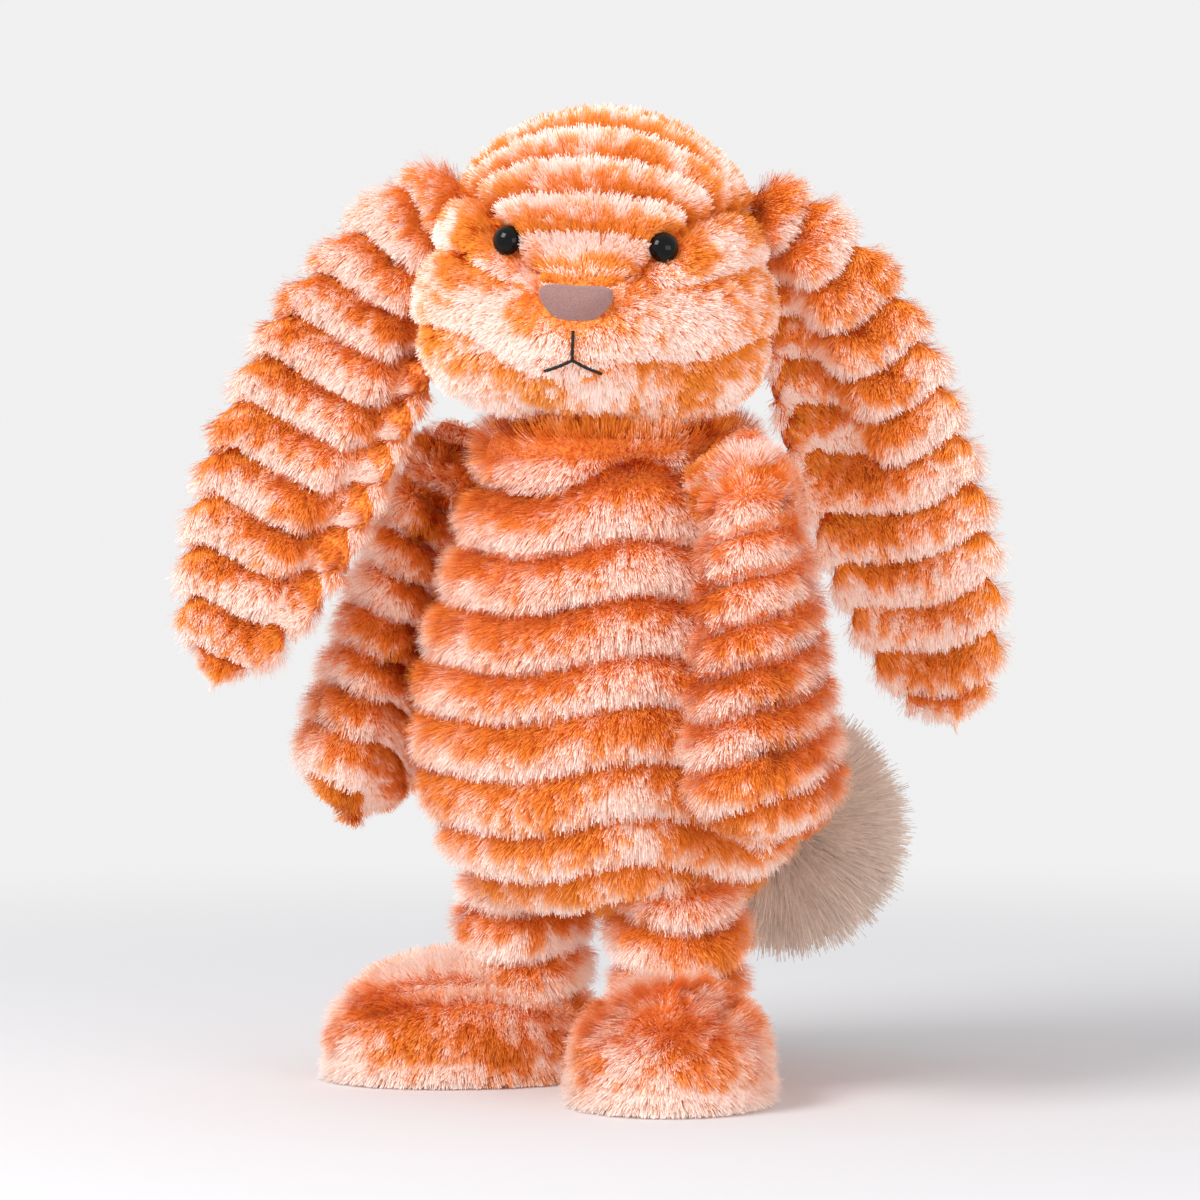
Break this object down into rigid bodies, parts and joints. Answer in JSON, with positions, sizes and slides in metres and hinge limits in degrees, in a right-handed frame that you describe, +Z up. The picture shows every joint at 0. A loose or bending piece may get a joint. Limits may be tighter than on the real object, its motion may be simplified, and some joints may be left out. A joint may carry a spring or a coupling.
{
  "type": "plush rabbit",
  "caption": "Stuffed lop-eared toy rabbit of ribbed orange pile, standing on flat feet, with bead eyes, a flocked nose, hinged ears and limbs, and a long-haired pompom tail.",
  "frame": {"origin": "on the floor, under the centre of the whole part's bounding box", "axes": "+Z up; the belly faces -Y; +X is the rabbit's own left"},
  "size_m": [0.2094, 0.2052, 0.3044],
  "materials": {
    "pile": "matte",
    "stuffing": "matte",
    "sole_cloth": "matte",
    "tail_pile": "matte",
    "bead": "gloss",
    "flock": "matte",
    "washer": "satin",
    "thread": "matte",
    "pouch_cloth": "matte"
  },
  "bodies": {
    "body": {"body_front": "pile", "body_back": "pile", "body_fill": "stuffing", "bean_pouch": "pouch_cloth"},
    "neck": {"neck_wad": "stuffing"},
    "head": {"head_gusset": "pile", "head_cheek_left": "pile", "head_cheek_right": "pile", "head_fill": "stuffing", "nose": "flock", "nose_washer": "washer", "mouth_thread": "thread", "eye_left": "bead", "eye_washer_left": "washer", "eye_right": "bead", "eye_washer_right": "washer"},
    "ear_left": {"ear_left_lining": "pile", "ear_left_back": "pile"},
    "ear_right": {"ear_right_lining": "pile", "ear_right_back": "pile"},
    "arm_left": {"arm_left_skin": "pile", "arm_left_fill": "stuffing"},
    "arm_right": {"arm_right_skin": "pile", "arm_right_fill": "stuffing"},
    "leg_left": {"leg_left_skin": "pile", "leg_left_fill": "stuffing", "foot_left_upper": "pile", "foot_left_fill": "stuffing", "foot_left_sole": "sole_cloth"},
    "leg_right": {"leg_right_skin": "pile", "leg_right_fill": "stuffing", "foot_right_upper": "pile", "foot_right_fill": "stuffing", "foot_right_sole": "sole_cloth"},
    "tail": {"tail_skin": "tail_pile", "tail_fill": "stuffing"}
  },
  "joints": [
    {"name": "head_turn", "type": "hinge", "parent": "body", "child": "neck", "pos_m": [0.00238, -0.01543, 0.214], "axis": [0, 0, 1], "range_deg": [-6, 24], "stiffness_Nm_per_rad": 0.3},
    {"name": "head_nod", "type": "hinge", "parent": "neck", "child": "head", "pos_m": [0.00238, -0.01543, 0.214], "axis": [0.848, 0.5299, 0], "range_deg": [-8, 8], "stiffness_Nm_per_rad": 0.5},
    {"name": "ear_left_lift", "type": "hinge", "parent": "head", "child": "ear_left", "pos_m": [0.04373, 0.01527, 0.26635], "axis": [0.5292, -0.8481, -0.0277], "range_deg": [0, 56]},
    {"name": "ear_right_lift", "type": "hinge", "parent": "head", "child": "ear_right", "pos_m": [-0.04501, -0.04025, 0.271], "axis": [-0.5292, 0.8481, 0.0277], "range_deg": [0, 56]},
    {"name": "arm_left_swing", "type": "hinge", "parent": "body", "child": "arm_left", "pos_m": [0.05834, -0.02131, 0.19], "axis": [-0.9602, 0.1866, -0.2079], "range_deg": [-12, 42], "stiffness_Nm_per_rad": 0.12},
    {"name": "arm_right_swing", "type": "hinge", "parent": "body", "child": "arm_right", "pos_m": [-0.05358, -0.02131, 0.19], "axis": [-0.9602, -0.1866, 0.2079], "range_deg": [-30, 6], "stiffness_Nm_per_rad": 0.12},
    {"name": "leg_left_swing", "type": "hinge", "parent": "body", "child": "leg_left", "pos_m": [0.03388, -0.01843, 0.052], "axis": [-0.8387, -0.5446, 0], "range_deg": [-10, 30], "stiffness_Nm_per_rad": 2.5},
    {"name": "leg_right_swing", "type": "hinge", "parent": "body", "child": "leg_right", "pos_m": [-0.02912, -0.01843, 0.052], "axis": [-0.7314, 0.682, 0], "range_deg": [-10, 30], "stiffness_Nm_per_rad": 2.5},
    {"name": "tail_wag", "type": "hinge", "parent": "body", "child": "tail", "pos_m": [0.00238, 0.07156, 0.074], "axis": [0, 0, 1], "range_deg": [-20, 20], "stiffness_Nm_per_rad": 0.05}
  ]
}
